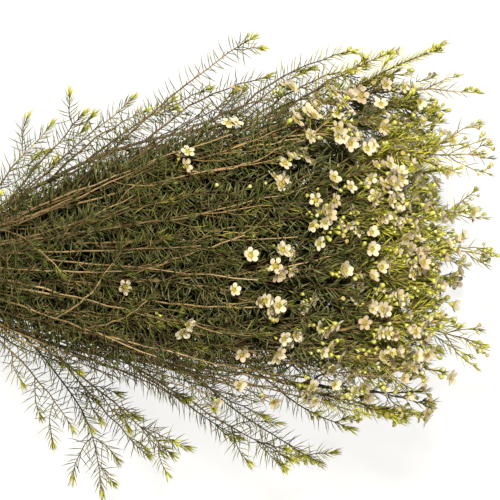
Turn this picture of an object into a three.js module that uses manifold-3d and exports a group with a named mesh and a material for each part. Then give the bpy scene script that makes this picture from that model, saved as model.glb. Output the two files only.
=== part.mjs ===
// A market bunch of waxflower: thirteen cut stems lying on their side, held by a rubber band.
// Millimetres, +X towards the flowers, +Z up, lying on the plane z = 0.
import * as THREE from 'three';
import { mergeVertices } from 'three/addons/utils/BufferGeometryUtils.js';
import Module from 'manifold-3d';

const wasm = await Module();
wasm.setup();

// Driving dimensions
const BAND_X = 70;                  // middle of the rubber band, from the cut ends
const HEAD_X = 655;                 // where the bunch is widest open
const HELD_LENGTH = 12;             // of the bundle, straight in the band
const BUNDLE_HALF_WIDTH = 11.6;     // of the bundle in the band
const BUNDLE_HALF_HEIGHT = 6.8;
const HEAD_HALF_WIDTH = 183;        // of the flowering head
const HEAD_HALF_HEIGHT = 84;
const BAND_Y = -28;                 // the bunch lies slightly askew
const HEAD_Y = 14;
const END_FLARE = 0.03;             // how far the cut ends open again behind the band

const STEM_RADIUS = 2.2;            // at the cut end
const STEM_TIP_RADIUS = 1;
const STEM_SIDES = 5;
const TWIG_RADIUS = 1.3;
const TWIG_TIP_RADIUS = 0.75;
const NEEDLE_LENGTH = 14;
const NEEDLE_RADIUS = 0.75;
const WHORL_LENGTH = 1.5;           // length of twig that a whorl of needles rises from
const WHORL_PITCH = 34;             // between whorls
const FLOWER_RADIUS = 8;
const FLOWER_STALK = 10;
const PETAL_TURN = 2 * Math.PI / 5;
const STALK_RADIUS = 0.75;
const BUD_RADIUS = 2.9;
const BUD_STALK = 7;
const PIECE_GAP = 0.25;             // between pieces of one stem
const CELL_MARGIN = 0.9;            // between a stem and its neighbours' space

const BARE_STATIONS = [30, BAND_X - 5, BAND_X + 5, BAND_X + 18, BAND_X + 32];
const FIRST_SHOOT_X = 125;          // the stems are bare below this
const LAST_SHOOT_BACK = 100;        // last side twig, back from the stem's tip
const INSIDE_SHOOTS = 8;            // on each stem, inside the bunch
const NODE_GAP = 16;                // between the places where twigs leave
const LAST_NODE_BACK = 62;          // the last of them, back from the stem's tip
const TWIG_BENDS = [0.7, 0.5, 0.9, 0.3];   // share of the way out that a twig has gone at its bend
const PLAIN_STEP = 40;              // between rings on a bare stem
const LEADER_LEAFY = 85;            // leafy length at the tip of each stem
const FLOWERING_X = 440;            // shoots that end beyond this flower
const FLOWERING = ['flower', 'flower', 'bud', 'flower'];
const LONE_BLOOM_HEIGHT = 0.8;      // share of the bunch's half-height
const LONE_BLOOM_TWIG = 75;

const BAND_THICKNESS = 1.5;
const BAND_TURN_WIDTH = 2.4;
const BAND_TURNS = 3;
const BAND_SLACK = 0.35;            // the outer turns lie this much lower than the middle one
const FIT_GAP = 0.3;                // between the band and the stems
const SEED = 20;

// Rows of stems across the bunch, as shares of its half-width and half-height
const ROW_HEIGHT = 0.6;
const OUTER_ROW = [-0.57, -0.19, 0.19, 0.57];
const MIDDLE_ROW = [-0.76, -0.38, 0, 0.38, 0.76];
const SITES = [
  ...OUTER_ROW.map((across) => new THREE.Vector2(across, ROW_HEIGHT)),
  ...MIDDLE_ROW.map((across) => new THREE.Vector2(across, 0)),
  ...OUTER_ROW.map((across) => new THREE.Vector2(across, -ROW_HEIGHT)),
];

// Where each stem's leader ends
const LEADER_ENDS = [560, 590, 585, 540, 575, 600, 612, 600, 560, 565, 590, 595, 550];

// Sprigs that stand out of the bunch: tip, place on the stem that it leaves, and the bend on the way
const SPRIGS = [
  { tip: [223, 119, 12], from: 140, heads: [] },
  { tip: [256, 128, 56], from: 184, heads: [] },
  { tip: [305, 141, 112], from: 200, heads: [] },
  { tip: [340, 143, 14], from: 235, heads: [] },
  { tip: [375, 152, 76], from: 270, heads: [] },
  { tip: [417, 197, 128], from: 290, heads: ['bud'] },
  { tip: [465, 170, 18], from: 360, heads: ['bud'] },
  { tip: [512, 188, 84], from: 390, heads: ['bud', 'bud'] },
  { tip: [546, 183, 138], from: 430, heads: ['flower', 'bud'] },
  { tip: [595, 192, 96], from: 470, heads: ['bud', 'bud', 'bud'] },
  { tip: [633, 150, 70], from: 520, heads: ['bud', 'bud', 'bud'] },
  { tip: [633, 90, 140], from: 520, heads: ['bud', 'bud'] },
  { tip: [650, -5, 90], from: 530, heads: ['bud', 'bud', 'bud', 'bud'] },
  { tip: [603, -64, 150], from: 500, heads: ['bud'] },
  { tip: [633, -88, 80], from: 520, heads: ['bud', 'bud'] },
  { tip: [598, -114, 130], from: 500, heads: ['flower', 'bud'] },
  { tip: [588, -147, 70], from: 470, heads: ['bud', 'bud'] },
  { tip: [560, -157, 104], from: 450, heads: ['bud', 'bud'] },
  { tip: [522, -152, 144], from: 410, heads: ['bud', 'bud'] },
  { tip: [512, -171, 30], from: 400, heads: ['bud', 'bud'] },
  { tip: [482, -205, 0.5], from: 320, bend: [420, -160, 6], heads: ['bud', 'bud'] },
  { tip: [454, -198, 70], from: 300, bend: [385, -150, 64], heads: ['bud'] },
  { tip: [403, -180, 0.5], from: 270, heads: [] },
  { tip: [340, -193, 56], from: 210, bend: [300, -150, 54], heads: [] },
  { tip: [316, -198, 0.5], from: 210, bend: [280, -150, 8], heads: [] },
  { tip: [273, -232, 0.5], from: 160, bend: [270, -140, 8], heads: [] },
  { tip: [245, -168, 42], from: 150, bend: [215, -110, 40], heads: [] },
];

// Low twigs that the bunch rests on
const RESTING = [
  { tip: [330, 96, 0.5], from: 220, heads: [] },
  { tip: [440, 118, 0.5], from: 330, heads: [] },
  { tip: [540, 96, 0.5], from: 440, heads: ['bud'] },
  { tip: [450, 30, 0.5], from: 360, heads: [] },
  { tip: [585, 36, 0.5], from: 500, heads: ['bud'] },
  { tip: [440, -36, 0.5], from: 350, heads: [] },
  { tip: [560, -70, 0.5], from: 470, heads: ['bud'] },
];

// Flowers and buds that show singly on top of the foliage
const LONE_BLOOMS = [
  { along: 295, across: -35, heads: ['flower'] },
  { along: 330, across: -55, heads: ['flower', 'bud'] },
  { along: 352, across: -68, heads: ['flower'] },
  { along: 351, across: 76, heads: ['flower'] },
  { along: 362, across: 87, heads: ['flower'] },
  { along: 405, across: 142, heads: ['flower', 'bud'] },
  { along: 398, across: 109, heads: ['flower', 'bud'] },
  { along: 387, across: 56, heads: ['bud'] },
  { along: 415, across: 57, heads: ['bud'] },
  { along: 417, across: 10, heads: ['bud'] },
  { along: 418, across: -7, heads: ['flower'] },
  { along: 398, across: -39, heads: ['flower'] },
  { along: 427, across: -50, heads: ['flower', 'flower'] },
  { along: 383, across: -135, heads: ['flower'] },
  { along: 405, across: -122, heads: ['flower'] },
  { along: 408, across: -92, heads: ['flower'] },
];

function seeded(seed) {
  let state = seed;
  return () => {
    state = (Math.imul(state, 1664525) + 1013904223) >>> 0;
    return state / 4294967296;
  };
}

const needleSource = seeded(SEED);

function needleRandom(low, high) {
  return low + (high - low) * needleSource();
}

// The bunch's space: how far it has opened at x, and the point at shares (across, up) of it

function opening(x) {
  const behind = BAND_X - HELD_LENGTH / 2 - x;
  if (behind > 0) {
    return END_FLARE * (behind / BAND_X) ** 2;
  }
  const start = BAND_X + HELD_LENGTH / 2;
  const along = Math.max(x - start, 0) / (HEAD_X - start);
  const eased = along * along / (along + 0.05);
  return 1 - Math.max(1 - eased, 0) ** 3;
}

function halfWidth(x) {
  return BUNDLE_HALF_WIDTH + (HEAD_HALF_WIDTH - BUNDLE_HALF_WIDTH) * opening(x);
}

function halfHeight(x) {
  return BUNDLE_HALF_HEIGHT + (HEAD_HALF_HEIGHT - BUNDLE_HALF_HEIGHT) * opening(x);
}

function middle(x) {
  const along = THREE.MathUtils.clamp((x - BAND_X) / (HEAD_X - BAND_X), 0, 1);
  return HEAD_Y - (HEAD_Y - BAND_Y) * (1 - along) ** 1.6;
}

const LIFT = STEM_RADIUS + FIT_GAP + BAND_THICKNESS - (1 - ROW_HEIGHT) * BUNDLE_HALF_HEIGHT;

function place(share, x) {
  return new THREE.Vector3(x, middle(x) + share.x * halfWidth(x), LIFT + (1 + share.y) * halfHeight(x));
}

function shareOf(point) {
  const across = (point.y - middle(point.x)) / halfWidth(point.x);
  const up = (point.z - LIFT) / halfHeight(point.x) - 1;
  return new THREE.Vector2(across, up);
}

// Each stem keeps to the space that is nearer to its own site than to any other stem's

function nearestSite(point) {
  const share = shareOf(point);
  const distances = SITES.map((site) => site.distanceTo(share));
  return distances.indexOf(Math.min(...distances));
}

function clearance(point, stem) {
  const share = shareOf(point);
  const own = SITES[stem];
  const width = halfWidth(point.x);
  const height = halfHeight(point.x);
  const distances = SITES.filter((_, other) => other !== stem).map((site) => {
    const apart = site.clone().sub(own);
    const gap = (share.distanceToSquared(site) - share.distanceToSquared(own)) / 2;
    return gap / Math.hypot(apart.x / width, apart.y / height);
  });
  return Math.min(...distances);
}

function spine(stem, x) {
  const sway = 0.05 * opening(x);
  const share = SITES[stem].clone();
  share.x += sway * Math.sin(x / 62 + stem * 2.1);
  share.y += sway * Math.cos(x / 75 + stem * 1.3);
  return place(share, x);
}

// Plans: which shoots a stem has. A shoot is a side twig with its flowers and buds, listed from the tip back

function insideBunch(share) {
  return Math.abs(share.x) ** 3 + Math.abs(share.y) ** 3 < 1;
}

function spaceTowards(stem, heading) {
  const own = SITES[stem];
  let reach = 1;
  SITES.forEach((site, other) => {
    const apart = site.clone().sub(own);
    const along = heading.dot(apart);
    if (other !== stem && along > 0) {
      reach = Math.min(reach, apart.lengthSq() / 2 / along);
    }
  });
  while (!insideBunch(own.clone().addScaledVector(heading, reach))) {
    reach *= 0.95;
  }
  return reach;
}

// Tips of the inside shoots spread evenly round their stem, out to the edge of its own space
function insideShoots(stem) {
  const random = seeded(SEED + stem);
  const last = LEADER_ENDS[stem] - LAST_SHOOT_BACK;
  return Array.from({ length: INSIDE_SHOOTS }, (_, k) => {
    const from = FIRST_SHOOT_X + (last - FIRST_SHOOT_X) * (k + 0.6 * random()) / INSIDE_SHOOTS;
    const tipX = from + 80 + 45 * random();
    const angle = k * 2.4 + stem + 0.8 * random();
    const heading = new THREE.Vector2(Math.cos(angle), Math.sin(angle));
    const flowers = tipX > FLOWERING_X;
    const reach = spaceTowards(stem, heading) * ((flowers ? 0.5 : 0.65) + 0.25 * random());
    const tip = place(SITES[stem].clone().addScaledVector(heading, reach), tipX);
    return { tip, from, heads: flowers ? FLOWERING : [], inside: 1 };
  });
}

function chosenShoots(stem) {
  const sprigs = [...SPRIGS, ...RESTING].map((sprig) => ({ ...sprig, tip: new THREE.Vector3(...sprig.tip) }));
  const lone = LONE_BLOOMS.map(({ along, across, heads }) => {
    const share = new THREE.Vector2((across - middle(along)) / halfWidth(along), LONE_BLOOM_HEIGHT);
    return { tip: place(share, along), from: along - LONE_BLOOM_TWIG, heads };
  });
  return [...sprigs, ...lone]
    .filter(({ tip }) => nearestSite(tip) === stem)
    .map((plan) => ({ ...plan, inside: 0 }));
}

// The ways that a shoot may bend to its tip, the best first
function shootCurves(stem, { tip, from, bend }) {
  const base = spine(stem, from);
  const turnX = THREE.MathUtils.lerp(from, tip.x, 0.45);
  const turns = TWIG_BENDS.map((share) => place(shareOf(base).lerp(shareOf(tip), share), turnX));
  if (bend) {
    turns.unshift(new THREE.Vector3(...bend));
  }
  return turns.map((turn) => new THREE.QuadraticBezierCurve3(base, turn, tip));
}

// One stem grows as one closed surface: everything on it rises from one of its four-cornered faces

function crossAxes(direction) {
  const reference = Math.abs(direction.z) < 0.9 ? new THREE.Vector3(0, 0, 1) : new THREE.Vector3(1, 0, 0);
  const side = new THREE.Vector3().crossVectors(reference, direction).normalize();
  const up = new THREE.Vector3().crossVectors(direction, side);
  return [side, up];
}

function turnOf(arm, direction) {
  const [side, up] = crossAxes(direction);
  return Math.atan2(arm.dot(up), arm.dot(side));
}

class Growth {
  constructor(stem) {
    this.stem = stem;
    this.points = [];
    this.triangles = [];
    this.taken = [];
  }

  add(point) {
    return this.points.push(point) - 1;
  }

  ring(centre, direction, radius, sides, roll) {
    const [side, up] = crossAxes(direction);
    return Array.from({ length: sides }, (_, k) => {
      const angle = roll + 2 * Math.PI * k / sides;
      const point = centre.clone().addScaledVector(side, radius * Math.cos(angle));
      return this.add(point.addScaledVector(up, radius * Math.sin(angle)));
    });
  }

  wall(lower, upper) {
    lower.forEach((corner, k) => {
      const next = (k + 1) % lower.length;
      this.quad([corner, lower[next], upper[next], upper[k]]);
    });
  }

  // Split along its shorter diagonal
  quad([a, b, c, d]) {
    const [from, far, near, other] = [a, c, b, d].map((corner) => this.points[corner]);
    if (from.distanceTo(far) <= near.distanceTo(other)) {
      this.triangles.push([a, b, c], [a, c, d]);
    } else {
      this.triangles.push([b, c, d], [b, d, a]);
    }
  }

  point(rim, tip) {
    const end = this.add(tip);
    rim.forEach((corner, k) => this.triangles.push([corner, rim[(k + 1) % rim.length], end]));
  }

  // From a four-cornered face to a three-sided ring whose second corner faces the side from b to c
  collar(face, ring) {
    const [a, b, c, d] = face;
    const [p, q, r] = ring;
    this.triangles.push([a, b, q], [a, q, p], [b, c, q], [c, d, r], [c, r, q], [d, a, p], [d, p, r]);
  }

  // The turn about a direction at which the side from b to c stands
  faceTurn(face, direction) {
    return turnOf(this.middleOf([face[1], face[2]]).sub(this.middleOf(face)), direction);
  }

  middleOf(corners) {
    const sum = corners.reduce((total, corner) => total.add(this.points[corner]), new THREE.Vector3());
    return sum.divideScalar(corners.length);
  }

  // Whether a line with some thickness is clear of what has grown on this stem
  isFree(line, radius, ...owners) {
    return this.taken.every((other) => owners.includes(other.owner)
      || Math.sqrt(other.line.distanceSqToLine3(line)) > other.radius + radius + PIECE_GAP);
  }

  // And of the ground and the neighbours too
  hasRoom(line, radius, owner) {
    return line.end.z > radius && clearance(line.end, this.stem) > radius + CELL_MARGIN
      && this.isFree(line, radius, owner);
  }

  take(line, radius, owner) {
    this.taken.push({ line, radius, owner });
  }

  keepHeadsWithRoom(whorls, owner) {
    whorls.forEach((whorl) => {
      whorl.heads = whorl.heads.filter((head) => {
        const lines = headLines(head);
        const fits = lines.every(({ line, radius }) => this.hasRoom(line, radius, owner));
        if (fits) {
          lines.forEach(({ line, radius }) => this.take(line, radius, null));
        }
        return fits;
      });
    });
  }

  // A needle rises from a face if it finds room

  needle(face, along, owner) {
    const root = this.middleOf(face);
    const outward = this.outwardOf(face);
    const length = NEEDLE_LENGTH * needleRandom(0.85, 1.15);
    const openLean = needleRandom(0.7, 1);
    for (const share of [1, 0.6, 0.35]) {
      const lean = openLean * share;
      const heading = along.clone().multiplyScalar(Math.cos(lean)).addScaledVector(outward, Math.sin(lean));
      const tip = root.clone().addScaledVector(heading, length);
      const line = new THREE.Line3(root.clone().lerp(tip, 0.25), tip);
      if (this.hasRoom(line, NEEDLE_RADIUS, owner)) {
        this.take(line, NEEDLE_RADIUS, null);
        this.point(face, tip);
        return true;
      }
    }
    return false;
  }

  outwardOf(face) {
    const [a, b, c, d] = face.map((corner) => this.points[corner]);
    return c.clone().sub(a).cross(d.clone().sub(b)).normalize();
  }

  bud(face, { root, heading }) {
    const at = (height) => root.clone().addScaledVector(heading, height);
    const roll = this.faceTurn(face, heading) - 3 * Math.PI / 4;
    const stalk = this.ring(at(BUD_STALK), heading, STALK_RADIUS, 4, roll);
    const crown = this.ring(at(BUD_STALK + 4), heading, BUD_RADIUS, 4, roll);
    this.wall(face, stalk);
    this.wall(stalk, crown);
    this.point(crown, at(BUD_STALK + 6.5));
  }

  // A stalk opens into a cup with five round petals: each petal gives the rim two outer points and a notch
  flower(face, { root, heading }) {
    const at = (height) => root.clone().addScaledVector(heading, height);
    const roll = this.faceTurn(face, heading) - 2 * Math.PI / 3;
    const [side, up] = crossAxes(heading);
    const rimPoint = (turn, reach, height) => this.add(at(height)
      .addScaledVector(side, reach * Math.cos(turn)).addScaledVector(up, reach * Math.sin(turn)));
    const stalk = this.ring(at(FLOWER_STALK), heading, STALK_RADIUS, 3, roll);
    const rim = [0, 1, 2, 3, 4].flatMap((petal) => {
      const turn = roll + (petal - 0.62) * PETAL_TURN;
      return [
        rimPoint(turn - 0.33, FLOWER_RADIUS, FLOWER_STALK + 4.4),
        rimPoint(turn + 0.33, FLOWER_RADIUS, FLOWER_STALK + 4.4),
        rimPoint(turn + PETAL_TURN / 2, FLOWER_RADIUS * 0.6, FLOWER_STALK + 3.8),
      ];
    });
    this.collar(face, stalk);
    stalk.forEach((corner, k) => this.triangles.push([corner, stalk[(k + 1) % 3], rim[5 * (k + 1) % 15]]));
    rim.forEach((corner, k) => this.triangles.push([stalk[Math.floor(k / 5)], rim[(k + 1) % 15], corner]));
    this.point(rim, at(FLOWER_STALK + 3));
  }

  // A tube along a curve through stations. Each side of the stretch up to a station may sprout
  tube(root, curve, radii, stations) {
    let last = root;
    stations.forEach(({ at, roll, sides, sprout }) => {
      const along = curve.getTangent(at);
      const radius = THREE.MathUtils.lerp(radii[0], radii[1], at);
      const current = this.ring(curve.getPoint(at), along, radius, sides, roll);
      if (last.length !== sides) {
        this.collar(last, current);
      } else {
        last.forEach((corner, k) => {
          const next = (k + 1) % sides;
          const face = [corner, last[next], current[next], current[k]];
          if (!(sprout && sprout(face, k, along))) {
            this.quad(face);
          }
        });
      }
      last = current;
    });
    this.point(last, curve.getPoint(1).addScaledVector(curve.getTangent(1), radii[1] * 3));
  }

  // Two stations for each whorl, with the heads and needles that rise between them, turned on from a roll
  whorlStations(curve, whorls, sides, from, owner) {
    const length = curve.getLength();
    const steps = Math.round((from - whorls[0].roll) * sides / (2 * Math.PI));
    const turned = ((steps % sides) + sides) % sides;
    return whorls.flatMap(({ at, roll, heads }) => {
      const startRoll = roll + 2 * Math.PI * steps / sides;
      const sprout = (face, side, along) => {
        const head = heads.find((each) => each.side === (side + turned) % sides);
        if (head) {
          this[head.kind](face, head);
          return true;
        }
        return this.needle(face, along, owner);
      };
      return [
        { at, roll: startRoll, sides },
        { at: at + WHORL_LENGTH / length, roll: startRoll, sides, sprout },
      ];
    });
  }

  shoot(face, { curve, whorls, owner, start }) {
    const roll = this.faceTurn(face, curve.getTangent(start)) - 2 * Math.PI / 3;
    const stations = this.whorlStations(curve, whorls, 3, roll, owner);
    this.tube(face, curve, [TWIG_RADIUS, TWIG_TIP_RADIUS], [{ at: start, roll, sides: 3 }, ...stations]);
    return true;
  }
}

// The whorls of a twig, and where its heads go: on the whorls nearest the tip, to the outside of the bunch

function planWhorls(curve, first, last, sides, heads, firstRoll) {
  const length = curve.getLength();
  const count = Math.max(Math.round((last - first) * length / WHORL_PITCH), Math.ceil(heads.length / 2), 2);
  return Array.from({ length: count }, (_, k) => {
    const at = first + (last - first) * (k + 0.5) / count;
    const fromTip = count - 1 - k;
    const roll = firstRoll + (fromTip % 2) * Math.PI / sides;
    const own = heads.slice(2 * fromTip, 2 * fromTip + 2).map((kind, side) => {
      const turn = roll + (side + 0.5) * 2 * Math.PI / sides;
      return planHead(curve, at, kind, side, turn, fromTip);
    });
    return { at, roll, heads: own };
  });
}

function planHead(curve, at, kind, side, turn, fromTip) {
  const along = curve.getTangent(at);
  const [across, up] = crossAxes(along);
  const outward = across.multiplyScalar(Math.cos(turn)).addScaledVector(up, Math.sin(turn));
  const lean = 0.75 + 0.2 * fromTip;
  const heading = along.clone().multiplyScalar(Math.cos(lean)).addScaledVector(outward, Math.sin(lean));
  return { kind, side, root: curve.getPoint(at), heading };
}

function outsideTurn(curve) {
  const tip = curve.getPoint(1);
  const [across, up] = crossAxes(curve.getTangent(1));
  const outside = new THREE.Vector3(0, tip.y - middle(tip.x), tip.z - halfHeight(tip.x));
  return Math.atan2(outside.dot(up), outside.dot(across));
}

// The room that a head takes: its stalk, and its bud or petals
function headLines({ kind, root, heading }) {
  const at = (height) => root.clone().addScaledVector(heading, height);
  if (kind === 'bud') {
    return [
      { line: new THREE.Line3(at(4), at(BUD_STALK)), radius: STALK_RADIUS },
      { line: new THREE.Line3(at(BUD_STALK + 3), at(BUD_STALK + 4.5)), radius: BUD_RADIUS },
    ];
  }
  const [side, up] = crossAxes(heading);
  const petals = [0, 1, 2, 3, 4, 5].map((k) => {
    const end = at(FLOWER_STALK + 3.5)
      .addScaledVector(side, 0.72 * FLOWER_RADIUS * Math.cos(k * Math.PI / 3))
      .addScaledVector(up, 0.72 * FLOWER_RADIUS * Math.sin(k * Math.PI / 3));
    return { line: new THREE.Line3(at(FLOWER_STALK + 2.5), end), radius: 0.28 * FLOWER_RADIUS };
  });
  return [{ line: new THREE.Line3(at(4), at(FLOWER_STALK)), radius: STALK_RADIUS }, ...petals];
}

class Leader extends THREE.Curve {
  constructor(stem) {
    super();
    this.stem = stem;
    this.endX = LEADER_ENDS[stem];
  }

  getPoint(share, target = new THREE.Vector3()) {
    return target.copy(spine(this.stem, share * this.endX));
  }
}

function linesThrough(curve, shares) {
  return shares.slice(1).map((share, k) => new THREE.Line3(curve.getPoint(shares[k]), curve.getPoint(share)));
}

// The share of a side twig's curve at which it is clear of the stem that it leaves
function clearingShare(stem, curve) {
  let share = 0.02;
  while (share < 0.5) {
    const point = curve.getPoint(share);
    if (point.distanceTo(spine(stem, point.x)) > STEM_RADIUS + TWIG_RADIUS + 0.5) {
      return share;
    }
    share += 0.01;
  }
  return share;
}

// One twig leaves at a time, each far enough before the next
function spacedOut(plans, lastX) {
  let next = lastX + NODE_GAP;
  return [...plans].sort((one, other) => other.from - one.from).map((plan) => {
    next = Math.min(plan.from, next - NODE_GAP);
    return { ...plan, from: next };
  }).reverse();
}

// Plain rings between the nodes keep the leader on its curve
function plainStations(nodeXs) {
  const stations = [...BARE_STATIONS];
  nodeXs.forEach((x) => {
    const before = stations.at(-1);
    const count = Math.floor((x - before) / PLAIN_STEP);
    for (let k = 1; k <= count; k += 1) {
      stations.push(before + (x - before) * k / (count + 1));
    }
    stations.push(x);
  });
  return stations;
}

function planShoot(stem, plan, curve, owner) {
  const start = clearingShare(stem, curve);
  const whorls = planWhorls(curve, start + 0.1, 0.98, 3, plan.heads, outsideTurn(curve) - 2 * Math.PI / 3);
  const shares = [start, ...whorls.map(({ at }) => at), 1];
  const [root, ...lines] = linesThrough(curve, [0, ...shares]);
  return { x: plan.from, curve, start, owner, whorls, root, lines };
}

// The leader is turned at each node so that one of its faces looks along the twig that leaves there
function leaderStations(growth, leader, stationXs, shoots) {
  const faceTurn = 2 * Math.PI / STEM_SIDES;
  let roll = 0;
  return stationXs.flatMap((x) => {
    const at = x / leader.endX;
    const shoot = shoots.find((each) => each.x === x);
    if (!shoot) {
      return [{ at, roll, sides: STEM_SIDES }];
    }
    const clear = shoot.curve.getPoint(shoot.start);
    const turn = turnOf(clear.clone().sub(spine(leader.stem, clear.x)), leader.getTangent(at));
    const side = Math.round((turn - roll) / faceTurn - 0.5);
    roll = turn - (side + 0.5) * faceTurn;
    const chosen = ((side % STEM_SIDES) + STEM_SIDES) % STEM_SIDES;
    const sprout = (face, k) => k === chosen && growth.shoot(face, shoot);
    return [
      { at, roll, sides: STEM_SIDES },
      { at: (x + WHORL_LENGTH) / leader.endX, roll, sides: STEM_SIDES, sprout },
    ];
  });
}

function growStem(stem) {
  const growth = new Growth(stem);
  const leader = new Leader(stem);
  const plans = spacedOut([...chosenShoots(stem), ...insideShoots(stem)], leader.endX - LAST_NODE_BACK);
  const stationXs = plainStations(plans.map(({ from }) => from));
  const leafy = Math.max(leader.endX - LEADER_LEAFY, stationXs.at(-1) + NODE_GAP) / leader.endX;
  const leaderWhorls = planWhorls(leader, leafy, 0.985, STEM_SIDES, FLOWERING,
    outsideTurn(leader) - 2 * Math.PI / STEM_SIDES);
  const leaderShares = [0, ...stationXs.map((x) => x / leader.endX), ...leaderWhorls.map(({ at }) => at), 1];
  linesThrough(leader, leaderShares).forEach((line) => growth.take(line, STEM_RADIUS, 0));

  const shoots = [];
  plans.sort((one, other) => one.inside - other.inside).forEach((plan) => {
    const shoot = shootCurves(stem, plan)
      .map((curve) => planShoot(stem, plan, curve, shoots.length + 1))
      .find(({ root, lines, owner }) => growth.isFree(root, TWIG_RADIUS, owner, 0)
        && lines.every((line) => growth.isFree(line, TWIG_RADIUS, owner)
          && clearance(line.end, stem) > TWIG_RADIUS + CELL_MARGIN));
    if (shoot) {
      shoots.push(shoot);
      [shoot.root, ...shoot.lines].forEach((line) => growth.take(line, TWIG_RADIUS, shoot.owner));
    }
  });
  growth.keepHeadsWithRoom(leaderWhorls, 0);
  shoots.forEach(({ whorls, owner }) => growth.keepHeadsWithRoom(whorls, owner));

  const root = growth.ring(leader.getPoint(0), leader.getTangent(0), STEM_RADIUS, STEM_SIDES, 0);
  for (let k = 1; k < STEM_SIDES - 1; k += 1) {
    growth.triangles.push([root[0], root[k + 1], root[k]]);
  }
  const stations = leaderStations(growth, leader, stationXs, shoots);
  const tipStations = growth.whorlStations(leader, leaderWhorls, STEM_SIDES, stations.at(-1).roll, 0);
  growth.tube(root, leader, [STEM_RADIUS, STEM_TIP_RADIUS], [...stations, ...tipStations]);
  return growth;
}

// Solids and meshes

function solidFrom(vertProperties, triVerts) {
  return new wasm.Manifold(new wasm.Mesh({ numProp: 3, vertProperties, triVerts }));
}

function solidOf({ points, triangles }) {
  const coordinates = points.flatMap((point) => point.toArray());
  return solidFrom(new Float32Array(coordinates), new Uint32Array(triangles.flat()));
}

function solidOfGeometry(geometry) {
  const bare = geometry.clone();
  bare.deleteAttribute('normal');
  bare.deleteAttribute('uv');
  const { attributes, index } = mergeVertices(bare, 1e-4);
  return solidFrom(attributes.position.array, new Uint32Array(index.array));
}

function meshOf(name, shape, material) {
  const { vertProperties, triVerts } = shape.getMesh();
  const geometry = new THREE.BufferGeometry();
  geometry.setAttribute('position', new THREE.BufferAttribute(vertProperties, 3));
  geometry.setIndex(new THREE.BufferAttribute(triVerts, 1));
  geometry.computeVertexNormals();
  const mesh = new THREE.Mesh(geometry, material);
  mesh.name = name;
  return mesh;
}

// The twigs underneath are pressed flat where the bunch rests on them
const ground = solidOfGeometry(new THREE.BoxGeometry(2000, 2000, 200).translate(0, 0, -100));

function stemSolid(stem) {
  return solidOf(growStem(stem)).subtract(ground);
}

// The rubber band: turns side by side round the bundle, drawn straight between its corner stems

function bandCorners() {
  const [nearSide, farSide] = [OUTER_ROW[0], OUTER_ROW.at(-1)];
  return [
    new THREE.Vector2(nearSide, -ROW_HEIGHT), new THREE.Vector2(farSide, -ROW_HEIGHT),
    new THREE.Vector2(MIDDLE_ROW.at(-1), 0), new THREE.Vector2(farSide, ROW_HEIGHT),
    new THREE.Vector2(nearSide, ROW_HEIGHT), new THREE.Vector2(MIDDLE_ROW[0], 0),
  ].map((share) => place(share, BAND_X)).map((point) => new THREE.Vector2(point.y, point.z));
}

function belt(radius, outline) {
  const corners = bandCorners();
  corners.forEach((corner, k) => {
    const before = corners.at(k - 1);
    const after = corners[(k + 1) % corners.length];
    const start = corner.clone().sub(before).angle() - Math.PI / 2;
    const end = after.clone().sub(corner).angle() - Math.PI / 2;
    outline.absarc(corner.x, corner.y, radius, start, end, false);
  });
  outline.closePath();
  return outline;
}

function bandSolid() {
  const inner = STEM_RADIUS + FIT_GAP;
  const alongX = new THREE.Matrix4().makeBasis(
    new THREE.Vector3(0, 1, 0), new THREE.Vector3(0, 0, 1), new THREE.Vector3(1, 0, 0));
  const turns = Array.from({ length: BAND_TURNS }, (_, k) => {
    const slack = k % 2 === 0 ? BAND_SLACK : 0;
    const shape = belt(inner + BAND_THICKNESS - slack, new THREE.Shape());
    shape.holes.push(belt(inner, new THREE.Path()));
    const extrusion = { depth: BAND_TURN_WIDTH, bevelEnabled: false, curveSegments: 1 };
    const geometry = new THREE.ExtrudeGeometry(shape, extrusion);
    const x = BAND_X + (k - BAND_TURNS / 2) * BAND_TURN_WIDTH;
    return solidOfGeometry(geometry.applyMatrix4(alongX).translate(x, 0, 0));
  });
  return wasm.Manifold.union(turns);
}

const foliage = new THREE.MeshStandardMaterial({ color: 0x5f6b35, roughness: 0.75, flatShading: true });
const rubber = new THREE.MeshStandardMaterial({ color: 0xb5794a, roughness: 0.6 });

const bunch = new THREE.Group();
SITES.forEach((_, stem) => {
  bunch.add(meshOf(`stem_${String(stem + 1).padStart(2, '0')}`, stemSolid(stem), foliage.clone()));
});
bunch.add(meshOf('rubber_band', bandSolid(), rubber));

// The origin is at the middle of the bunch's underside
const box = new THREE.Box3().setFromObject(bunch);
bunch.position.set(-(box.min.x + box.max.x) / 2, -(box.min.y + box.max.y) / 2, -box.min.z);
bunch.updateMatrixWorld(true);

export default bunch;
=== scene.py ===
import math
import random

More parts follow.
